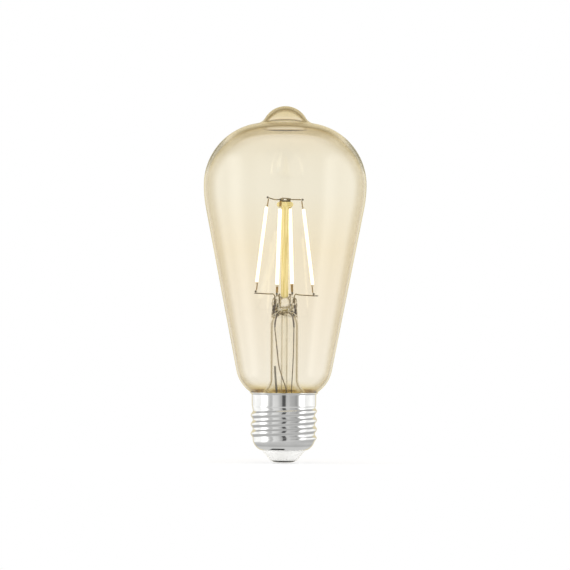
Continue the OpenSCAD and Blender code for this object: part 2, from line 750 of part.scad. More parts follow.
seal_wire(1);  // seal_wire_right
outer_lead_left();
outer_lead_right();
screw_shell();
insulator();
centre_contact();
basing_cement();
driver_sleeve();
driver_board();
bridge_rectifier();
capacitor();
choke_core();
choke_winding();
fuse_resistor();
driver_chip();
chip_resistors();
chip_capacitors();
radio_board();
radio_shield();
antenna_wire();
live_wire();
neutral_wire();
solder_joints();
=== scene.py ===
"""Looks of a tall amber filament bulb with an Edison screw cap, standing on a white studio floor."""
import math

import bpy
from mathutils import Euler, Matrix, Vector, noise


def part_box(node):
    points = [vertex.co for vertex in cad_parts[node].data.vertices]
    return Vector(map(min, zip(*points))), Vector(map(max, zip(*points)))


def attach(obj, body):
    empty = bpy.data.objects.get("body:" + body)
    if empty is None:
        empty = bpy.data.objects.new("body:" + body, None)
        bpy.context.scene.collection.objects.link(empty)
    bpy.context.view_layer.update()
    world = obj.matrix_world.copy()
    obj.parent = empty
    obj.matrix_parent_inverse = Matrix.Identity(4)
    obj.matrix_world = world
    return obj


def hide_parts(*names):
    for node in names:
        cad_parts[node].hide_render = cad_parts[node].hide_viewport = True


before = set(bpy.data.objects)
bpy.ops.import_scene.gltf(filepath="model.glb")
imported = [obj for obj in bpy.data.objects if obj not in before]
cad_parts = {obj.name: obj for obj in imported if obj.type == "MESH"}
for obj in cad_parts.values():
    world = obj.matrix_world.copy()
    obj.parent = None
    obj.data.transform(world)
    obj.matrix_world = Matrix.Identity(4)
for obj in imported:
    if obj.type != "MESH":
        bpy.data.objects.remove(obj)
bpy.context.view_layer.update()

MM = 0.001

# The bulb's main sizes in millimetres, from the frame
GLASS_LOW, GLASS_HIGH = (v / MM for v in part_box("glass_envelope"))
GLASS_R = GLASS_HIGH.x
TIP_Z = GLASS_HIGH.z
NECK_Z = GLASS_LOW.z
STEM_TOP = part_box("stem_flare")[1].z / MM
ROD_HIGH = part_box("support_rod")[1] / MM
BEAD_LOW, BEAD_HIGH = (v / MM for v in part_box("rod_bead"))
CLIP_LOW, CLIP_HIGH = (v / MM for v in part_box("bead_clip"))


# ---- Modelling helpers ----

def deselect_all():
    if bpy.context.object and bpy.context.object.mode != "OBJECT":
        bpy.ops.object.mode_set(mode="OBJECT")
    bpy.ops.object.select_all(action="DESELECT")


def only(obj):
    deselect_all()
    obj.select_set(True)
    bpy.context.view_layer.objects.active = obj


def edit(obj):
    only(obj)
    bpy.ops.object.mode_set(mode="EDIT")


def done(obj, name, angle=40):
    """Back to object mode, named, smooth and with its place in its mesh."""
    bpy.ops.object.mode_set(mode="OBJECT")
    only(obj)
    bpy.ops.object.transform_apply(location=True, rotation=True, scale=True)
    bpy.ops.object.shade_smooth_by_angle(angle=math.radians(angle))
    obj.name = obj.data.name = name
    return obj


def pick(obj, test, mode="VERT"):
    """In edit mode, selects just the vertices or faces that pass a test of their place in millimetres."""
    bpy.ops.mesh.select_mode(type=mode)
    bpy.ops.mesh.select_all(action="DESELECT")
    bpy.ops.object.mode_set(mode="OBJECT")
    parts = obj.data.vertices if mode == "VERT" else obj.data.polygons
    for part in parts:
        part.select = test((part.co if mode == "VERT" else part.center) / MM)
    bpy.ops.object.mode_set(mode="EDIT")


def apply_modifier(obj, kind, **settings):
    only(obj)
    modifier = obj.modifiers.new(kind.title(), kind)
    for key, value in settings.items():
        setattr(modifier, key, value)
    bpy.ops.object.modifier_apply(modifier=modifier.name)


def subdivide_smooth(obj, levels):
    apply_modifier(obj, "SUBSURF", levels=levels, render_levels=levels)


def turned(name, outline, steps, closed=False, angle=60):
    """A shape turned about Z from an outline of (radius, height) points in millimetres."""
    deselect_all()
    first = outline[0]
    bpy.ops.mesh.primitive_plane_add(size=MM, location=(0, 0, 0))
    obj = bpy.context.object
    bpy.ops.object.mode_set(mode="EDIT")
    bpy.ops.mesh.select_mode(type="VERT")
    bpy.ops.mesh.select_all(action="SELECT")
    bpy.ops.mesh.merge(type="CENTER")
    bpy.ops.transform.translate(value=(first[0] * MM, 0, first[1] * MM))
    for a, b in zip(outline, outline[1:]):
        step = ((b[0] - a[0]) * MM, 0, (b[1] - a[1]) * MM)
        bpy.ops.mesh.extrude_region_move(TRANSFORM_OT_translate={"value": step})
    if closed:
        bpy.ops.mesh.select_all(action="SELECT")
        bpy.ops.mesh.remove_doubles(threshold=1e-7)
    bpy.ops.mesh.select_all(action="SELECT")
    bpy.ops.mesh.spin(steps=steps, angle=2 * math.pi, center=(0, 0, 0), axis=(0, 0, 1))
    bpy.ops.mesh.select_all(action="SELECT")
    bpy.ops.mesh.remove_doubles(threshold=1e-6)
    bpy.ops.mesh.normals_make_consistent(inside=False)
    return done(obj, name, angle)


def arc(centre, radius, start, end, step=4):
    """Points along an arc, in millimetres, a few degrees apart."""
    count = max(2, math.ceil(abs(end - start) / step))
    angles = [math.radians(start + (end - start) * i / count) for i in range(count + 1)]
    return [(centre[0] + radius * math.cos(a), centre[1] + radius * math.sin(a)) for a in angles]


def stand_for(piece, slot, *nodes):
    """Puts a piece on the bulb's one body, in place of CAD nodes."""
    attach(piece, "root")
    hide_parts(*nodes)
    return piece


def merged_copy(node, name, angle=40):
    """A copy of a CAD node with its loose triangles joined, and flat pairs made into quads."""
    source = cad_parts[node]
    copy = source.copy()
    copy.data = source.data.copy()
    copy.name = copy.data.name = name
    bpy.context.collection.objects.link(copy)
    copy.parent = None
    copy.data.materials.clear()
    edit(copy)
    bpy.ops.mesh.select_all(action="SELECT")
    bpy.ops.mesh.remove_doubles(threshold=1e-6)
    bpy.ops.mesh.tris_convert_to_quads(face_threshold=math.radians(50), shape_threshold=math.radians(60))
    return done(copy, name, angle)


# ---- Material helpers ----

def srgb(code):
    """A colour from its sRGB hex code, as linear red, green, blue and alpha."""
    parts = [int(code[i:i + 2], 16) / 255 for i in (1, 3, 5)]
    linear = [p / 12.92 if p <= 0.04045 else ((p + 0.055) / 1.055) ** 2.4 for p in parts]
    return (*linear, 1.0)


def grey(value):
    """A plain tone, as linear red, green, blue and alpha."""
    return (value, value, value, 1.0)


def add(tree, kind, links=None, **settings):
    """Adds a node. Settings are its properties or input values, links its inputs' sources."""
    node = tree.nodes.new("ShaderNode" + kind)
    for key, value in settings.items():
        label = key.replace("_", " ")
        if hasattr(node, key):
            setattr(node, key, value)
        else:
            names = [s.name.lower() for s in node.inputs]
            node.inputs[names.index(label.lower())].default_value = value
    for key, source in (links or {}).items():
        tree.links.new(source, node.inputs[key])
    return node


def joined(tree, a, b, operation="MULTIPLY"):
    """Two values joined by a sum or a product, the second of them a socket or a plain number."""
    node = add(tree, "Math", {0: a}, operation=operation)
    if isinstance(b, (int, float)):
        node.inputs[1].default_value = b
    else:
        tree.links.new(b, node.inputs[1])
    return node.outputs[0]


def ramp(tree, source, stops):
    """A colour ramp over a value. Stops are (place, linear colour)."""
    node = add(tree, "ValToRGB", {0: source})
    elements = node.color_ramp.elements
    while len(elements) < len(stops):
        elements.new(0.5)
    for element, (place, colour) in zip(elements, stops):
        element.position = place
        element.color = colour
    return node.outputs["Color"]


def blank(name):
    """A new material with its tree, its output and its Object coordinates."""
    material = bpy.data.materials.new(name)
    material.use_nodes = True
    tree = material.node_tree
    tree.nodes.clear()
    output = tree.nodes.new("ShaderNodeOutputMaterial")
    place = add(tree, "TexCoord").outputs["Object"]
    return material, tree, output, place


def fine_noise(tree, place, size_mm, detail=4.0, roughness=0.5):
    """Noise whose grains are about the given size in millimetres."""
    return add(tree, "TexNoise", {"Vector": place}, Scale=1 / (size_mm * MM), Detail=detail,
               Roughness=roughness).outputs["Fac"]


def spread(tree, value, low, high):
    """A noise value spread over a range of plain numbers."""
    return add(tree, "MapRange", {"Value": value}, From_Min=0.3, From_Max=0.7, To_Min=low,
               To_Max=high).outputs["Result"]


def height_share(tree, height, low, high):
    """How far a height has come from one level in millimetres to another, from 0 to 1."""
    return add(tree, "MapRange", {"Value": height}, From_Min=low * MM,
               From_Max=high * MM).outputs["Result"]


def height_of(tree, place):
    return add(tree, "SeparateXYZ", {0: place}).outputs["Z"]


def bump(tree, height, depth_mm, strength=1.0):
    node = add(tree, "Bump", {"Height": height}, Strength=strength, Distance=depth_mm * MM)
    return node.outputs["Normal"]


def cover(obj, material):
    obj.data.materials.clear()
    obj.data.materials.append(material)


def let_light_through(tree, glass, tint):
    """Glass that lamps shine through: for shadow rays alone it is a plain tinted sheet."""
    sheet = add(tree, "BsdfTransparent", Color=tint).outputs[0]
    shadow = add(tree, "LightPath").outputs["Is Shadow Ray"]
    return add(tree, "MixShader", {0: shadow, 1: glass, 2: sheet}).outputs[0]


# ---- Materials ----

def amber_glass():
    """Soda-lime glass, machine blown, with a thin amber coat: clear, with deeper colour where the glass
    gathers at the crown and at the tip. The dark band at the neck and the deep band where the crown turns
    over are painted shade."""
    material, tree, output, place = blank("amber coated blown glass")
    # The bands of gathered glass and of painted neck shade run in a slightly uneven line, some 25 mm from
    # wave to wave
    shift = spread(tree, fine_noise(tree, place, 26, detail=1.5), -0.9 * MM, 0.9 * MM)
    level = joined(tree, height_of(tree, place), shift, "ADD")
    # The two lowest stops are painted shade at the neck, where the flare and cement behind the glass would
    # darken it
    heights = ((26, "#D2C08C"), (27.8, "#D8C794"), (29.2, "#F7F1DF"), (31, "#FBF8F0"), (60, "#FAF5EA"),
               (84, "#FAF4E5"), (106, "#FAF7ED"), (124, "#FAF7ED"), (133, "#FAF4E6"), (139.6, "#F0E7C8"))
    coat = ramp(tree, height_share(tree, level, NECK_Z, TIP_Z),
                [((z - NECK_Z) / (TIP_Z - NECK_Z), srgb(code)) for z, code in heights])
    # Where the wall is seen edge-on the coat is crossed on the slant, and it looks deeper
    slant = add(tree, "LayerWeight", Blend=0.5).outputs["Facing"]
    rim = ramp(tree, slant, [(0.45, srgb("#FFFFFF")), (0.68, srgb("#F9F4E4")), (0.87, srgb("#EBDFBB")),
                             (1.0, srgb("#D6C288"))])
    # Painted shade: a deep band painted where the crown turns over, on top of what its thicker wall absorbs
    crown = ramp(tree, slant, [(0.57, srgb("#FFFFFF")), (0.62, srgb("#F4ECD6")), (0.65, srgb("#B3A57C")),
                               (0.7, srgb("#B0A279")), (0.8, srgb("#BEB088")), (0.88, srgb("#E2D7B2")),
                               (1.0, srgb("#E6DAB6"))])
    # The painted crown shade takes over from the coat's edge tint above 126.5 mm
    edge = add(tree, "MixRGB", {0: height_share(tree, level, 126.5, 130), 1: rim, 2: crown}).outputs[0]
    coat = add(tree, "MixRGB", {1: coat, 2: edge}, blend_type="MULTIPLY", Fac=1.0).outputs[0]
    # Blown glass is never quite even: shallow ripples, about 18 mm apart
    ripple = bump(tree, fine_noise(tree, place, 18, detail=1.0), 0.05, 0.6)
    glass = add(tree, "BsdfPrincipled", {"Base Color": coat, "Normal": ripple}, Roughness=0.0, IOR=1.5,
                Transmission_Weight=1.0)
    shader = let_light_through(tree, glass.outputs[0], srgb("#F4EBD6"))
    tree.links.new(shader, output.inputs["Surface"])
    body = add(tree, "VolumeAbsorption", Color=srgb("#E8CF92"), Density=60.0)
    tree.links.new(body.outputs[0], output.inputs["Volume"])
    return material


def clear_glass(name, tint, ripple_mm, depth_mm, painted_shade_band=None):
    """Lead-free stem glass, flame worked: clear with a soft wave from the burner. The painted shade band
    lies between
    two heights in millimetres: there dark streaks, 1 mm wide, are painted as the shade seen in the pressed
    glass."""
    material, tree, output, place = blank(name)
    streak = fine_noise(tree, place, ripple_mm, detail=2.0)
    colour = ramp(tree, streak, [(0.35, srgb(tint[0])), (0.65, srgb(tint[1]))])
    # Painted shade: dark streaks in the press, where the pressed glass mirrors dark parts of the studio
    if painted_shade_band:
        share = height_share(tree, height_of(tree, place), painted_shade_band[0] - 1, painted_shade_band[1] + 1)
        band = ramp(tree, share, [(0.0, grey(0)), (0.25, grey(1)), (0.7, grey(1)), (1.0, grey(0))])
        painted_dark_streaks = ramp(tree, fine_noise(tree, place, 1.0, detail=3.0),
                    [(0.42, srgb("#8F8361")), (0.56, srgb("#FFFFFE"))])
        colour = add(tree, "MixRGB", {0: band, 1: colour, 2: painted_dark_streaks}).outputs[0]
    wave = bump(tree, streak, depth_mm, 0.7)
    glass = add(tree, "BsdfPrincipled", {"Base Color": colour, "Normal": wave}, Roughness=0.0, IOR=1.5,
                Transmission_Weight=1.0)
    shader = let_light_through(tree, glass.outputs[0], srgb("#F4F2EC"))
    tree.links.new(shader, output.inputs["Surface"])
    return material


def painted_glow_glass():
    """Glass rod between the lit filaments, with painted light: straw-yellow streaks and a weak glow stand
    in for the filaments' light it gathers and mirrors.
    """
    material, tree, output, place = blank("glass rod with painted glow")
    # Painted reflection: straw streaks along the rod, for the filaments it mirrors
    stretch = add(tree, "Mapping", {"Vector": place}, Scale=(1, 1, 0.08)).outputs[0]
    streak = fine_noise(tree, stretch, 1.1, detail=3.0)
    colour = ramp(tree, streak, [(0.38, srgb("#C6B870")), (0.58, srgb("#EFE7BE"))])
    wave = bump(tree, streak, 0.05, 0.5)
    # Painted glow: the rod emits a little light of its own
    glass = add(tree, "BsdfPrincipled", {"Base Color": colour, "Normal": wave}, Roughness=0.15, IOR=1.5,
                Transmission_Weight=0.1, Emission_Color=srgb("#CFC590"), Emission_Strength=0.45)
    tree.links.new(glass.outputs[0], output.inputs["Surface"])
    return material


def lit_phosphor():
    """Phosphor-filled silicone over a row of 28 dies, lit: near white, a touch paler over each die."""
    material, tree, output, place = blank("lit phosphor silicone")
    uv = add(tree, "TexCoord").outputs["UV"]
    along = joined(tree, add(tree, "SeparateXYZ", {0: uv}).outputs["Y"], 28 * 2 * math.pi)
    wave = add(tree, "Math", {0: along}, operation="SINE").outputs[0]
    share = add(tree, "MapRange", {"Value": wave}, From_Min=-1.0).outputs["Result"]
    colour = ramp(tree, share, [(0.2, srgb("#FFF6DC")), (0.8, srgb("#FFFEF8"))])
    skin = bump(tree, fine_noise(tree, place, 0.35), 0.03, 0.5)
    body = add(tree, "BsdfPrincipled", {"Base Color": colour, "Normal": skin}, Roughness=0.55,
               Emission_Color=srgb("#FFFDF4"), Emission_Strength=1.3)
    tree.links.new(body.outputs[0], output.inputs["Surface"])
    return material


def drawn_wire(name, light, dark, metallic=0.7):
    """Drawn nickel-plated wire with a skin of oxide from the burner, patchy along its length."""
    material, tree, output, place = blank(name)
    patch = fine_noise(tree, place, 1.6, detail=5.0)
    colour = ramp(tree, patch, [(0.35, srgb(dark)), (0.62, srgb(light))])
    rough = spread(tree, patch, 0.5, 0.28)
    die_lines = bump(tree, fine_noise(tree, place, 0.12), 0.02, 0.6)
    body = add(tree, "BsdfPrincipled", {"Base Color": colour, "Roughness": rough, "Normal": die_lines},
               Metallic=metallic)
    tree.links.new(body.outputs[0], output.inputs["Surface"])
    return material


def nickel_plate():
    """Brass sheet, rolled and bright nickel plated: mirror-like, with faint rolling lines round the cap and
    slight clouds in its tone."""
    material, tree, output, place = blank("bright nickel plate")
    # Rolling lines run round the cap, some 0.25 mm apart
    around = add(tree, "Mapping", {"Vector": place}, Scale=(0.06, 0.06, 1)).outputs[0]
    lines = fine_noise(tree, around, 0.25, detail=3.0)
    cloud = fine_noise(tree, place, 5, detail=3.0)
    colour = ramp(tree, cloud, [(0.3, srgb("#EDEDEB")), (0.7, srgb("#F7F7F5"))])
    rough = spread(tree, lines, 0.04, 0.1)
    skin = bump(tree, lines, 0.01, 0.25)
    body = add(tree, "BsdfPrincipled", {"Base Color": colour, "Roughness": rough, "Normal": skin},
               Metallic=1.0)
    tree.links.new(body.outputs[0], output.inputs["Surface"])
    return material


def tinned_contact():
    """Stamped contact with a tin face, its tin painted dark grey as shade on the face turned down: soft
    reflections, fine scratches from test sockets.
    """
    material, tree, output, place = blank("tinned contact metal")
    drawn_out = add(tree, "Mapping", {"Vector": place}, Scale=(1, 0.15, 1)).outputs[0]
    scratch = fine_noise(tree, drawn_out, 0.3, detail=6.0)
    # Painted shade: the tin's colour is dark grey
    colour = ramp(tree, scratch, [(0.35, srgb("#4C4B49")), (0.65, srgb("#7C7B78"))])
    rough = spread(tree, scratch, 0.18, 0.4)
    skin = bump(tree, scratch, 0.02, 0.5)
    body = add(tree, "BsdfPrincipled", {"Base Color": colour, "Roughness": rough, "Normal": skin},
               Metallic=1.0)
    tree.links.new(body.outputs[0], output.inputs["Surface"])
    return material


def moulded(name, light, dark, roughness, grain_mm=0.5, depth_mm=0.02, coat=0.0):
    """Moulded plastic or ceramic with a fine even grain and slight changes of tone."""
    material, tree, output, place = blank(name)
    tone = fine_noise(tree, place, grain_mm * 8, detail=3.0)
    colour = ramp(tree, tone, [(0.3, srgb(dark)), (0.7, srgb(light))])
    skin = fine_noise(tree, place, grain_mm)
    rough = spread(tree, skin, roughness * 0.85, roughness * 1.15)
    grain = bump(tree, skin, depth_mm, 0.4)
    body = add(tree, "BsdfPrincipled", {"Base Color": colour, "Roughness": rough, "Normal": grain},
               Coat_Weight=coat, Coat_Roughness=0.08)
    tree.links.new(body.outputs[0], output.inputs["Surface"])
    return material


def metal(name, light, dark, roughness, grain_mm=0.4):
    """Plain metal with small changes of tone and gloss."""
    material, tree, output, place = blank(name)
    grain = fine_noise(tree, place, grain_mm, detail=5.0)
    colour = ramp(tree, grain, [(0.3, srgb(dark)), (0.7, srgb(light))])
    rough = spread(tree, grain, roughness * 0.8, roughness * 1.2)
    skin = bump(tree, grain, 0.02, 0.5)
    body = add(tree, "BsdfPrincipled", {"Base Color": colour, "Roughness": rough, "Normal": skin},
               Metallic=1.0)
    tree.links.new(body.outputs[0], output.inputs["Surface"])
    return material


def board_mask(name, light, dark):
    """Glass-epoxy board under solder mask: glossy, and its weave shows faintly, 0.5 mm between threads."""
    material, tree, output, place = blank(name)
    weave = add(tree, "TexChecker", {"Vector": place}, Scale=1 / (0.5 * MM)).outputs["Fac"]
    soft = joined(tree, weave, fine_noise(tree, place, 0.8))
    colour = ramp(tree, soft, [(0.1, srgb(dark)), (0.6, srgb(light))])
    body = add(tree, "BsdfPrincipled", {"Base Color": colour, "Normal": bump(tree, soft, 0.01, 0.4)},
               Roughness=0.3, Coat_Weight=0.4, Coat_Roughness=0.1)
    tree.links.new(body.outputs[0], output.inputs["Surface"])
    return material


# ---- Glass bulb ----

# Heights and radii of the blown outline, in millimetres
CROWN_H = 31.0
TIP_H = 6.5
TIP_ROUND = 9.2
TIP_FILLET = 4.5
BELLY_ROUND = 48.0
HEEL_ROUND = 13.3
HEEL = (5.7, 38.6)
NECK_FILLET = 2.0
NECK_R = 11.95
# Its wall on the sides and, where the glass gathers, at the crown
GLASS_T = 0.85
CROWN_T = 1.5


def meet(c1, r1, c2, r2):
    """The right-hand point that lies r1 from c1 and r2 from c2."""
    a, b = Vector(c1), Vector(c2)
    d = (b - a).length
    along = (d * d + r1 * r1 - r2 * r2) / (2 * d)
    side = math.sqrt(r1 * r1 - along * along)
    u = (b - a) / d
    return a + along * u + side * Vector((-u.y, u.x))


def angle_to(a, b):
    return math.degrees(math.atan2(b[1] - a[1], b[0] - a[0]))


def glass_outline():
    """Outer outline of the glass, from the end of the neck to the tip."""
    belly_z = TIP_Z - CROWN_H
    shoulder_round = CROWN_H - TIP_H
    belly = (GLASS_R - BELLY_ROUND, belly_z)
    shoulder = (GLASS_R - shoulder_round, belly_z)
    tip = (0.0, TIP_Z - TIP_ROUND)
    reach = NECK_R + NECK_FILLET - HEEL[0]
    neck = (NECK_R + NECK_FILLET, HEEL[1] - math.sqrt((HEEL_ROUND + NECK_FILLET) ** 2 - reach ** 2))
    fillet = meet(tip, TIP_ROUND + TIP_FILLET, shoulder, shoulder_round + TIP_FILLET)
    gap = math.dist(HEEL, belly)
    taper = angle_to(HEEL, belly) - math.degrees(math.acos((HEEL_ROUND - BELLY_ROUND) / gap))
    neck_a, shoulder_a, tip_a = angle_to(neck, HEEL), angle_to(shoulder, fillet), angle_to(tip, fillet)
    heel_arc = arc(HEEL, HEEL_ROUND, neck_a - 180, taper)
    belly_arc = arc(belly, BELLY_ROUND, taper, 0, 2)
    rise = Vector(belly_arc[0]) - Vector(heel_arc[-1])
    straight = [tuple(Vector(heel_arc[-1]) + rise * i / 14) for i in range(1, 14)]
    neck_arc = arc(neck, NECK_FILLET, 180, neck_a, 8)
    points = [(NECK_R, NECK_Z), (NECK_R, (NECK_Z + neck_arc[0][1]) / 2)] + neck_arc + heel_arc[1:]
    points += straight + belly_arc + arc(shoulder, shoulder_round, 0, shoulder_a, 3)[1:]
    points += arc(fillet, TIP_FILLET, shoulder_a + 180, tip_a + 180, 6)[1:]
    return points + arc(tip, TIP_ROUND, tip_a, 90, 5)[1:]


def smooth_step(low, high, value):
    """Grows from 0 to 1 between two values, with no corner at either."""
    share = min(1.0, max(0.0, (value - low) / (high - low)))
    return share * share * (3 - 2 * share)


def make_envelope():
    glass = turned("glass_bulb", glass_outline(), 144, angle=180)
    # The wall grows inwards towards the crown
    wall = glass.vertex_groups.new(name="wall")
    for v in glass.data.vertices:
        thickness = GLASS_T + (CROWN_T - GLASS_T) * smooth_step(112, 130, v.co.z / MM)
        wall.add([v.index], thickness / CROWN_T, "REPLACE")
    apply_modifier(glass, "SOLIDIFY", thickness=CROWN_T * MM, offset=-1.0, vertex_group="wall")
    only(glass)
    bpy.ops.object.shade_smooth_by_angle(angle=math.radians(60))
    cover(glass, amber_glass())
    return stand_for(glass, "amber_glass", "glass_envelope")


# ---- Stem ----

# Tube, press and flare, in millimetres
STEM_R = 5.65
STEM_T = 0.9
STEM_CLOSE = 55.0
PRESS_LOW = 61.0
PRESS_SEED = 3
EXHAUST_R = 1.4
EXHAUST_BORE = 0.9
FLARE_ROUND = 5.0
FLARE_ANGLE = 41.0
# How the press jaws squeeze the tube in Y, ring by ring: from a height, to a height, the share left
JAWS = ((55.2, 56.4, 0.97), (56.5, 57.9, 0.88), (57.9, 59.3, 0.76), (59.3, 60.4, 0.64), (60.4, 61.4, 0.52),
        (61.4, 62.7, 0.46), (62.7, 64.0, 0.45), (64.0, 70.0, 0.44))


def flare_points(t):
    """The flare's face, t inside its outer one, from the tube down to the rim in the neck."""
    rim_r = NECK_R - GLASS_T - 0.03
    x = STEM_R + FLARE_ROUND * (1 - math.cos(math.radians(FLARE_ANGLE)))
    slope = math.tan(math.radians(FLARE_ANGLE))
    sine = math.sin(math.radians(FLARE_ANGLE))
    z = NECK_Z + 0.5 + STEM_T / sine + FLARE_ROUND * sine + (rim_r - x) / slope
    bend = arc((STEM_R + FLARE_ROUND, z), FLARE_ROUND + t, 180, 180 + FLARE_ANGLE, 6)
    last = bend[-1]
    return bend + [(rim_r, last[1] - (rim_r - last[0]) / slope)]


def press_shut(stem):
    """Pinches the top of the turned stem flat, as the press jaws do."""
    edit(stem)
    for low, high, squeeze in JAWS:
        # The dome inside the tube is left round
        pick(stem, lambda p, a=low, b=high: a < p.z <= b and (p.x * p.x + p.y * p.y > 23.5 or p.z > 60.6))
        bpy.ops.transform.resize(value=(1, squeeze, 1), center_override=(0, 0, 0))
    # The jaws' ribs: the glass between the rod's seat and the wires is pinched thin
    rib_top = STEM_TOP - 0.7
    for side in (-1, 1):
        pick(stem, lambda p, s=side: 1.7 < s * p.x < 3.5 and PRESS_LOW < p.z < rib_top and abs(p.y) > 0.3)
        bpy.ops.transform.resize(value=(1, 0.42, 1), center_override=(0, 0, 0))


def make_stem():
    """The stem tube is turned with its closing dome, and its top is pressed shut."""
    top = STEM_TOP
    outer = [(0.0, top), (2.4, top - 0.05), (4.0, top - 0.35), (4.75, top - 1.0), (4.95, top - 1.9),
             (4.95, top - 2.9), (4.95, PRESS_LOW - 0.2), (5.0, PRESS_LOW - 1.4), (5.15, PRESS_LOW - 2.8),
             (5.4, PRESS_LOW - 4.2), (5.58, STEM_CLOSE), (STEM_R, STEM_CLOSE - 1.5)]
    outer += [(STEM_R, z) for z in (50, 44, 38, 34)] + flare_points(0)
    dome = PRESS_LOW - 0.7
    inner_r = STEM_R - STEM_T
    inner = flare_points(STEM_T)[::-1] + [(inner_r, z) for z in (34, 38, 44, 50, 53.5, 55.5)]
    inner += [(inner_r - 0.25, 57), (inner_r - 0.8, 58.3), (inner_r - 1.7, 59.3),
              (inner_r - 2.8, dome - 0.25), (EXHAUST_R + 0.1, dome), (0.0, dome)]
    stem = turned("stem_and_press", outer + inner, 48, angle=180)
    press_shut(stem)
    stem = done(stem, "stem_and_press", 180)
    subdivide_smooth(stem, 1)
    # Flame-worked glass keeps a slight random swell, which grows over the 5 mm below the press
    noise.seed_set(PRESS_SEED)
    for v in stem.data.vertices:
        share = min(1.0, max(0.0, (v.co.z / MM - PRESS_LOW + 5) / 5))
        v.co += noise.noise_vector(v.co / (1.4 * MM)) * 0.36 * MM * share
    only(stem)
    bpy.ops.object.shade_smooth_by_angle(angle=math.radians(180))
    # Painted shade streaks in the glass just below the press
    painted_shade_band = (57.6, PRESS_LOW)
    cover(stem, clear_glass("flame worked stem glass", ("#FDFCF8", "#FFFFFE"), 5, 0.02, painted_shade_band))
    return stand_for(stem, "stem_glass", "stem_flare")


def make_exhaust():
    """Exhaust tube with its tipped-off end in the cap."""
    low, high = (corner.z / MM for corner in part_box("exhaust_tube"))
    outer = [(0.0, low), (0.5, low + 0.1), (1.0, low + 1.1), (EXHAUST_R, low + 2.2)]
    outer += [(EXHAUST_R, z) for z in (28, 36, 44, 52)] + [(EXHAUST_R, high)]
    inner = [(EXHAUST_BORE, high)] + [(EXHAUST_BORE, z) for z in (52, 44, 36, 28)]
    inner += [(EXHAUST_BORE, low + 2.6), (0.5, low + 1.7), (0.0, low + 1.4)]
    tube = turned("exhaust_tube_glass", outer + inner, 40, angle=50)
    cover(tube, clear_glass("drawn exhaust tube glass", ("#FDFCF9", "#FFFFFE"), 6, 0.01))
    return stand_for(tube, "stem_glass", "exhaust_tube")


def make_rod():
    """Support rod, drawn a little unevenly, with a round melted foot in the top of the press."""
    radius, top = ROD_HIGH.x, ROD_HIGH.z
    foot = STEM_TOP - 1.1
    drawn = ((66.5, 1.0), (68, 0.985), (72, 0.97), (80, 0.975), (88, 0.965), (96, 0.98))
    outline = [(0.0, foot), (0.5, foot + 0.08), (1.0, foot + 0.33), (1.35, foot + 0.75),
               (radius, foot + 1.3)]
    outline += [(radius * share, z) for z, share in drawn]
    outline += [(radius, top - 0.8), (radius, top - 0.1), (radius - 0.1, top), (0.0, top)]
    rod = turned("support_rod_glass", outline, 40, angle=50)
    # The rod has painted glow and painted streaks of reflection
    cover(rod, painted_glow_glass())
    return stand_for(rod, "rod_glass", "support_rod")


def make_bead():
    """Melted bead on the rod: a flattened drop with a dimple where the strip sits, slightly out of true."""
    radius, low, high = BEAD_HIGH.x, BEAD_LOW.z, BEAD_HIGH.z
    mid, half = (low + high) / 2, (high - low) / 2
    outline = [(0.0, low + 0.25), (1.2, low + 0.2), (1.9, low)]
    outline += arc((radius - half, mid), half, -80, 80, 14)
    outline += [(1.6, high - 0.02), (0.8, high - 0.12), (0.0, high - 0.15)]
    bead = turned("rod_bead_glass", outline, 36, angle=60)
    for v in bead.data.vertices:
        swell = noise.noise(v.co / (2.5 * MM))
        v.co.x *= 1 - 0.035 * abs(swell)
        v.co.y *= 0.93 + 0.04 * swell
    # The bead shares the rod's painted glow
    cover(bead, painted_glow_glass())
    return stand_for(bead, "rod_glass", "rod_bead")


def make_clip():
    """Strip of nickel on the bead, with its ends bent down a little and rounded corners."""
    centre = (CLIP_LOW + CLIP_HIGH) / 2 * MM
    size = (CLIP_HIGH - CLIP_LOW) * MM
    deselect_all()
    bpy.ops.mesh.primitive_cube_add(size=1, location=centre)
    clip = bpy.context.object
    bpy.ops.object.mode_set(mode="EDIT")
    bpy.ops.transform.resize(value=tuple(size))
    bpy.ops.mesh.subdivide(number_cuts=3)
    bpy.ops.object.mode_set(mode="OBJECT")
    bpy.ops.object.transform_apply(location=True, rotation=True, scale=True)
    edit(clip)
    pick(clip, lambda p: abs(p.y) > 0.6)
    bpy.ops.transform.resize(value=(0.94, 1, 0.7), center_override=(0, 0, centre.z))
    clip = done(clip, "bead_clip_metal", 50)
    apply_modifier(clip, "BEVEL", width=0.1 * MM, segments=2, limit_method="ANGLE")
    return clip


# ---- Filaments ----

FILAMENTS = range(1, 5)
COAT_W = 1.5
COAT_T = 1.3
LIT_LEN = 30.0


def filament_place(index):
    """Turns and moves the upright model filament to where a CAD filament stands, read from its strip."""
    places = [v.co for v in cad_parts["filament_strip_%d" % index].data.vertices]
    high = max(p.z for p in places)
    low = min(p.z for p in places)
    tops = [p for p in places if p.z > high - 0.3 * MM]
    feet = [p for p in places if p.z < low + 0.3 * MM]
    top = sum(tops, Vector()) / len(tops)
    foot = sum(feet, Vector()) / len(feet)
    middle = (top + foot) / 2
    axis = (top - foot).normalized()
    outward = Vector((middle.x, middle.y, 0)).normalized()
    depth = (outward - axis * outward.dot(axis)).normalized()
    turn = Matrix((depth.cross(axis), depth, axis)).transposed().to_4x4()
    return Matrix.Translation(middle) @ turn


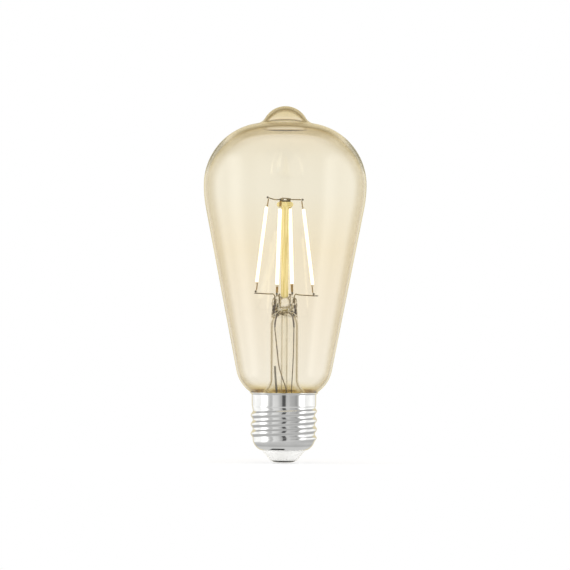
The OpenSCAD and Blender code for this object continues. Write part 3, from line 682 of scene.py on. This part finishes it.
def make_model_coat():
    """One phosphor coat, standing at the origin: an oval bar with domed, slightly pulled-in ends."""
    deselect_all()
    bpy.ops.mesh.primitive_cylinder_add(vertices=20, radius=0.5, depth=1, end_fill_type="NGON")
    coat = bpy.context.object
    bpy.ops.object.mode_set(mode="EDIT")
    bpy.ops.mesh.select_all(action="SELECT")
    bpy.ops.transform.resize(value=(COAT_W * MM, COAT_T * MM, LIT_LEN * MM))
    # Cut across every 1.25 mm, for the swell of the silicone
    cuts = 24
    for i in range(1, cuts):
        bpy.ops.mesh.select_all(action="SELECT")
        z = (i / cuts - 0.5) * LIT_LEN * MM
        bpy.ops.mesh.bisect(plane_co=(0, 0, z), plane_no=(0, 0, 1))
    for end in (-1, 1):
        pick(coat, lambda p, e=end: e * p.z > LIT_LEN / 2 - 0.01, "FACE")
        bpy.ops.mesh.inset(thickness=0.14 * MM)
        bpy.ops.transform.translate(value=(0, 0, end * 0.12 * MM))
        bpy.ops.mesh.inset(thickness=0.2 * MM)
        bpy.ops.transform.translate(value=(0, 0, end * 0.05 * MM))
    bpy.ops.mesh.select_all(action="SELECT")
    bpy.ops.transform.resize(value=(1, 1, LIT_LEN / (LIT_LEN + 0.34)))
    bpy.ops.uv.cylinder_project(direction="ALIGN_TO_OBJECT", align="POLAR_ZX", scale_to_bounds=True)
    coat = done(coat, "model_coat", 60)
    for v in coat.data.vertices:
        swell = 1 - 0.03 * (0.5 + 0.5 * noise.noise(Vector((0, 0, v.co.z / (3.5 * MM)))))
        v.co.x *= swell
        v.co.y *= swell
    subdivide_smooth(coat, 1)
    return coat


def make_filaments():
    """The four phosphor coats. The glass's own coat dulls their mirror images, so nothing mirrors them."""
    model = make_model_coat()
    material = lit_phosphor()
    for index in FILAMENTS:
        coat = model.copy()
        coat.data = model.data.copy()
        bpy.context.collection.objects.link(coat)
        coat.data.transform(filament_place(index))
        coat.name = coat.data.name = "phosphor_coat_%d" % index
        cover(coat, material)
        coat.visible_glossy = False
        stand_for(coat, "phosphor", "filament_coat_%d" % index)
    bpy.data.objects.remove(model)


def make_pins(index, material):
    """The filament's two end pins: stamped tabs with rounded edges."""
    pins = merged_copy("filament_pins_%d" % index, "end_pins_%d" % index)
    apply_modifier(pins, "BEVEL", width=0.07 * MM, segments=2, limit_method="ANGLE")
    cover(pins, material)
    return stand_for(pins, "pin_steel", "filament_pins_%d" % index)


# ---- Cap ----

def make_shell():
    """The CAD shell's own thread, joined up and smoothed so that it reflects as rolled sheet does."""
    shell = merged_copy("screw_shell", "nickel_screw_shell", 80)
    subdivide_smooth(shell, 1)
    only(shell)
    bpy.ops.object.shade_smooth_by_angle(angle=math.radians(80))
    cover(shell, nickel_plate())
    return stand_for(shell, "nickel_shell", "screw_shell")


def make_insulator():
    """Moulded insulator with a softened waist, a shallow ring step and a recess for the contact."""
    low, high = (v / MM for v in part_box("insulator"))
    foot_r, waist_r, flange_r = 5.1, 8.3, high.x
    foot, waist_z, top = low.z, 4.65, high.z
    outline = [(0.0, foot), (contact_radius() - 0.1, foot), (foot_r - 0.1, foot),
               (foot_r + 0.1, foot + 0.08), (foot_r + 0.35, foot + 0.35), (foot_r + 1.2, foot + 1.45),
               (7.1, 3.1), (7.9, 4.0), (waist_r - 0.02, 4.45)]
    outline += [(waist_r, waist_z), (waist_r, 5.75), (flange_r - 0.05, 5.85), (flange_r, 6.0),
                (flange_r, top), (4.7, top), (3.7, top - 1.5), (0.0, top - 1.5)]
    base = turned("insulator_moulding", outline, 96, angle=35)
    cover(base, moulded("white opal moulding", "#FAFAF8", "#F5F5F2", 0.3, 0.6, 0.02, coat=0.3))
    return stand_for(base, "cap_plastic", "insulator")


def contact_radius():
    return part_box("centre_contact")[1].x / MM


def make_contact():
    """Contact head with a shallow solder dome, and its shank."""
    radius = contact_radius()
    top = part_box("centre_contact")[1].z / MM
    outline = [(0.0, 0.02), (1.2, 0.0), (2.75, 0.0), (3.3, 0.06), (3.9, 0.2), (4.35, 0.4),
               (radius - 0.1, 0.56), (radius, 0.64), (radius - 0.03, 0.7), (1.2, 0.7), (1.2, top - 0.2),
               (1.0, top), (0.0, top)]
    contact = turned("contact_head", outline, 72, angle=40)
    cover(contact, tinned_contact())
    return stand_for(contact, "contact_nickel", "centre_contact")


# ---- Put it together ----

def make_wires():
    """Lead and support wires: the CAD routes, rounded."""
    oxidised = drawn_wire("oxidised nickel wire", "#A4925F", "#66573A", metallic=0.35)
    copper = drawn_wire("tinned copper lead", "#A08C5E", "#63533A", metallic=0.4)
    tinned = drawn_wire("dull tinned aerial wire", "#9A9A94", "#6E6E6A", metallic=0.6)
    inner = ["top_wire_%d" % i for i in FILAMENTS]
    inner += ["inner_lead_left", "inner_lead_right", "branch_wire_front", "branch_wire_back"]
    groups = (("support_wire", oxidised, inner),
              ("lead_copper", copper, ["outer_lead_left", "outer_lead_right"]),
              ("antenna_metal", tinned, ["antenna_wire"]))
    for slot, material, nodes in groups:
        for node in nodes:
            wire = merged_copy(node, node + "_round", 70)
            subdivide_smooth(wire, 1)
            cover(wire, material)
            stand_for(wire, slot, node)


def cover_nodes(material, *nodes):
    for node in nodes:
        cover(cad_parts[node], material)


def make_object():
    make_envelope()
    make_stem()
    make_exhaust()
    make_rod()
    make_bead()
    clip = make_clip()
    cover(clip, drawn_wire("oxidised nickel strip", "#5E5438", "#332C1C", metallic=0.2))
    stand_for(clip, "clip_metal", "bead_clip")
    make_filaments()
    steel = metal("heat tinted pin steel", "#D2B26A", "#957437", 0.4)
    for index in FILAMENTS:
        make_pins(index, steel)
    make_shell()
    make_insulator()
    make_contact()
    make_wires()
    cover_nodes(metal("weld metal", "#8E8670", "#514A3A", 0.4), "weld_knots")
    cover_nodes(metal("oxidised seal wire", "#6B4A34", "#3A2A20", 0.45),
                "seal_wire_left", "seal_wire_right")
    cover_nodes(moulded("fired alumina strip", "#F2F1EC", "#E2E0D8", 0.5, 0.2),
                *["filament_strip_%d" % i for i in FILAMENTS])
    cover_nodes(moulded("gallium nitride die", "#BFD4E6", "#8FB0CC", 0.2, 0.2, coat=0.6),
                *["filament_chips_%d" % i for i in FILAMENTS])
    cover_nodes(moulded("cured basing cement", "#B89E70", "#8E774E", 0.8, 0.5, 0.06), "basing_cement")
    cover_nodes(moulded("insulating sleeve", "#EDE8D6", "#DDD6C0", 0.5, 0.4), "driver_sleeve")
    cover_nodes(board_mask("green solder mask", "#1E6B3A", "#0F4324"), "driver_board")
    cover_nodes(board_mask("blue solder mask", "#1F3A86", "#132458"), "radio_board")
    cover_nodes(moulded("moulded epoxy package", "#2A2A2C", "#161618", 0.5, 0.15),
                "bridge_rectifier", "driver_chip", "chip_resistors")
    cover_nodes(moulded("shrink sleeve on aluminium", "#2B2D4A", "#1B1C32", 0.3, 0.4), "capacitor")
    cover_nodes(moulded("sintered ferrite", "#3A3A3C", "#262628", 0.7, 0.2, 0.04), "choke_core")
    cover_nodes(metal("enamelled copper winding", "#B4622E", "#7C3C1A", 0.3, 0.2), "choke_winding")
    cover_nodes(moulded("cement coated resistor", "#6E8B74", "#52705A", 0.6, 0.2), "fuse_resistor")
    cover_nodes(moulded("fired ceramic capacitor", "#B79467", "#93734A", 0.45, 0.15), "chip_capacitors")
    cover_nodes(metal("tinned shield can", "#D4D5D6", "#A9ABAD", 0.3), "radio_shield")
    cover_nodes(moulded("red wire insulation", "#B4231C", "#8E1813", 0.4, 0.2), "live_wire")
    cover_nodes(moulded("blue wire insulation", "#23458F", "#18316A", 0.4, 0.2), "neutral_wire")
    cover_nodes(metal("tin solder", "#C9CBCC", "#94979A", 0.25), "solder_joints")


# ---- Studio ----

def tones(tree, source, *stops):
    """A ramp of plain tones over a value that runs from -1 to 1. Stops are (place, tone)."""
    centred = joined(tree, joined(tree, source, 0.5), 0.5, "ADD")
    return ramp(tree, centred, [(0.5 + place / 2, grey(tone)) for place, tone in stops])


def mirror_turn(tree, way):
    """The studio is laid out by how a mirror must be turned to show a part of it to the camera: to the side
    (across) and up or down (lift), both from -1 to 1. It follows from the mirrored ray's own direction."""
    reach = joined(tree, joined(tree, joined(tree, way.outputs["Y"], -2.0), 2.0, "ADD"), 0.5, "POWER")
    reach = joined(tree, reach, 0.05, "MAXIMUM")
    across = joined(tree, way.outputs["X"], reach, "DIVIDE")
    lift = joined(tree, way.outputs["Z"], reach, "DIVIDE")
    return across, lift


def studio_walls(tree, across, lift):
    """Grey cloths with a dark gap in the middle and a tall soft box at each side. The ceiling above and the
    floor below are grey too, with a darker edge each."""
    cloths = tones(tree, across, (-0.95, 0.95), (-0.88, 1.15), (-0.72, 1.0), (-0.62, 2.1), (-0.57, 2.0),
                   (-0.5, 0.97), (-0.47, 0.66), (-0.42, 0.52), (-0.37, 0.54), (-0.33, 0.8), (-0.19, 0.7),
                   (-0.12, 0.52), (-0.065, 0.42), (-0.04, 0.1), (0.045, 0.1), (0.07, 0.55), (0.15, 0.6),
                   (0.2, 0.5), (0.33, 0.44), (0.38, 0.34), (0.43, 0.45), (0.47, 1.0), (0.52, 2.1),
                   (0.57, 1.8), (0.66, 0.95), (0.86, 1.15), (0.95, 0.95))
    levels = tones(tree, lift, (-1.0, 0.64), (-0.66, 0.62), (-0.6, 0.46), (-0.5, 0.5), (-0.4, 0.64),
                   (-0.3, 0.72), (0.3, 0.9), (0.42, 0.7), (0.53, 0.44), (0.64, 0.44), (0.7, 0.8),
                   (1.0, 0.5))
    sloped = tones(tree, lift, (-0.42, 1), (-0.3, 0), (0.4, 0), (0.52, 1))
    return add(tree, "MixRGB", {0: sloped, 1: cloths, 2: levels}).outputs[0]


def mirrored_studio(tree, way, across, lift):
    """What mirrors see: the studio's walls, with a black flag low in the middle, and straw-coloured light
    where a mirror is met at a grazing angle, which is wider above."""
    walls = studio_walls(tree, across, lift)
    flag = joined(tree, tones(tree, across, (-0.29, 0), (-0.26, 1), (0.0, 1), (0.04, 0)),
                  tones(tree, lift, (-0.905, 0), (-0.885, 1), (-0.79, 1), (-0.77, 0)))
    flagged = add(tree, "MixRGB", {0: flag, 1: walls}, Color2=grey(0.02)).outputs[0]
    grazing = ramp(tree, way.outputs["Y"], [(0.84, grey(0.0)), (0.95, grey(1.0))])
    nearly = ramp(tree, way.outputs["Y"], [(0.62, grey(0.0)), (0.8, grey(1.0))])
    above = tones(tree, lift, (0.2, 0), (0.36, 1))
    straw = joined(tree, grazing, joined(tree, nearly, above), "MAXIMUM")
    return add(tree, "MixRGB", {0: straw, 1: flagged}, Color2=srgb("#E4D9B8")).outputs[0]


def seen_through_glass(tree, way, across):
    """What shows through clear glass: white straight behind the bulb and a dull amber room just off that
    line, which draws the edges of the glass. Rays that the glass turns far aside meet pale walls."""
    around = tones(tree, across, (-0.9, 0.9), (-0.82, 1.0), (-0.72, 0.95), (-0.5, 0.85), (0.5, 0.85),
                   (0.76, 0.95), (0.86, 1.0), (0.92, 0.9))
    behind = ramp(tree, way.outputs["Y"],
                  [(0.5, srgb("#A4945F")), (0.82, srgb("#A5956A")), (0.95, grey(1.0))])
    ahead = ramp(tree, way.outputs["Y"], [(0.5, grey(0.0)), (0.64, grey(1.0))])
    return add(tree, "MixRGB", {0: ahead, 1: around, 2: behind}).outputs[0]


def studio_world():
    """White for the camera and plain light for the rest. Mirrors and clear glass see the studio."""
    world = bpy.data.worlds.new("studio")
    bpy.context.scene.world = world
    world.use_nodes = True
    tree = world.node_tree
    tree.nodes.clear()
    out = tree.nodes.new("ShaderNodeOutputWorld")
    way = add(tree, "SeparateXYZ", {0: add(tree, "TexCoord").outputs["Generated"]})
    across, lift = mirror_turn(tree, way)
    mirror = add(tree, "Background", {"Color": mirrored_studio(tree, way, across, lift)}, Strength=1.0)
    through = add(tree, "Background", {"Color": seen_through_glass(tree, way, across)}, Strength=1.0)
    plain = add(tree, "Background", Color=grey(1.0), Strength=1.0)
    light = add(tree, "Background", Color=srgb("#FCFBFA"), Strength=0.92)
    path = add(tree, "LightPath")
    views = (("Is Glossy Ray", mirror), ("Is Transmission Ray", through), ("Is Camera Ray", plain))
    for ray, seen in views:
        light = add(tree, "MixShader", {0: path.outputs[ray], 1: light.outputs[0], 2: seen.outputs[0]})
    tree.links.new(light.outputs[0], out.inputs["Surface"])


def studio_floor():
    """White floor. It keeps a soft shadow near the bulb and runs into the white backdrop farther off."""
    deselect_all()
    bpy.ops.mesh.primitive_plane_add(size=12, location=(0, 0, -0.0004))
    floor = bpy.context.object
    floor.name = "studio_floor"
    material, tree, output, place = blank("white studio floor")
    cloud = fine_noise(tree, place, 60, detail=2.0)
    tone = ramp(tree, cloud, [(0.3, srgb("#F6F6F6")), (0.7, srgb("#FAFAFA"))])
    paint = add(tree, "BsdfDiffuse", {"Color": tone})
    backdrop = add(tree, "Emission", Color=grey(1.0), Strength=1.0)
    away = add(tree, "VectorMath", {0: place}, operation="LENGTH").outputs["Value"]
    fade = add(tree, "MapRange", {"Value": away}, From_Min=0.02, From_Max=0.11, To_Min=0.6, To_Max=1.0)
    seen = add(tree, "LightPath").outputs["Is Camera Ray"]
    share = joined(tree, fade.outputs["Result"], seen)
    mix = add(tree, "MixShader", {0: share, 1: paint.outputs[0], 2: backdrop.outputs[0]})
    tree.links.new(mix.outputs[0], output.inputs["Surface"])
    cover(floor, material)
    # Metal and glass look past the floor, at the studio round it
    floor.visible_glossy = False
    floor.visible_transmission = False


def softbox(name, place, aim, width, height, power):
    """A soft lamp that lights the bulb without being mirrored in it. The world holds what mirrors show."""
    lamp = bpy.data.lights.new(name, "AREA")
    lamp.shape = "RECTANGLE"
    lamp.size = width
    lamp.size_y = height
    lamp.energy = power
    obj = bpy.data.objects.new(name, lamp)
    bpy.context.collection.objects.link(obj)
    obj.location = place
    obj.rotation_euler = (Vector(aim) - Vector(place)).to_track_quat("-Z", "Y").to_euler()
    obj.visible_glossy = False
    obj.visible_transmission = False


def studio_lights():
    middle = (0, 0, 0.07)
    softbox("left_softbox", (-0.75, -0.1, 0.16), middle, 0.28, 0.6, 2.6)
    softbox("right_softbox", (0.75, -0.16, 0.16), middle, 0.28, 0.6, 2.2)
    softbox("top_softbox", (0, -0.35, 0.8), middle, 0.5, 0.3, 1.5)


# The camera stands level with the bulb's middle, far off. Its view is 224 mm wide at the bulb.
VIEW_W = 0.224
CAMERA_D = 2.4
AIM = Vector((0.00015, 0, 0.0697))
LEAN = math.radians(0.33)


def studio_camera():
    data = bpy.data.cameras.new("camera")
    data.sensor_width = 36
    data.lens = data.sensor_width * CAMERA_D / VIEW_W
    data.clip_end = 50
    camera = bpy.data.objects.new("camera", data)
    bpy.context.collection.objects.link(camera)
    camera.location = AIM - Vector((0, CAMERA_D, 0))
    camera.rotation_euler = Euler((math.pi / 2, -LEAN, 0))
    bpy.context.scene.camera = camera


make_object()
studio_world()
studio_floor()
studio_lights()
studio_camera()
scene = bpy.context.scene
scene.view_settings.view_transform = "Standard"
scene.cycles.max_bounces = 32
scene.cycles.transmission_bounces = 32
scene.cycles.transparent_max_bounces = 32
scene.cycles.glossy_bounces = 8
